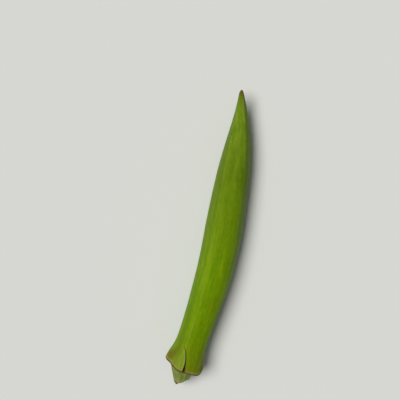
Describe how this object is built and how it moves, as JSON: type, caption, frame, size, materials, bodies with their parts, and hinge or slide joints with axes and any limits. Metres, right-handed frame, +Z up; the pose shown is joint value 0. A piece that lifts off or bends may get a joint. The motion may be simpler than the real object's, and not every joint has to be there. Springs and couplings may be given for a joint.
{
  "type": "okra pod",
  "caption": "Okra pod lying on its side: a ridged, gently curved green pod with a slender beak, and the cut stem cap at its split collar.",
  "frame": {"origin": "on the surface that the pod lies on, under the middle of the bounding box", "axes": "+Y from the cut stem to the beak, +Z up, +X to the right as seen from above with the beak away from the viewer"},
  "size_m": [0.0266, 0.1618, 0.0208],
  "materials": {
    "pod_green": "plant skin, satin, bright green with lengthwise streaks and fine short hairs",
    "cap_green": "plant skin, matt, grey green, browning at the cut"
  },
  "bodies": {
    "root": {"pod": "pod_green", "stem_cap": "cap_green"}
  },
  "joints": []
}
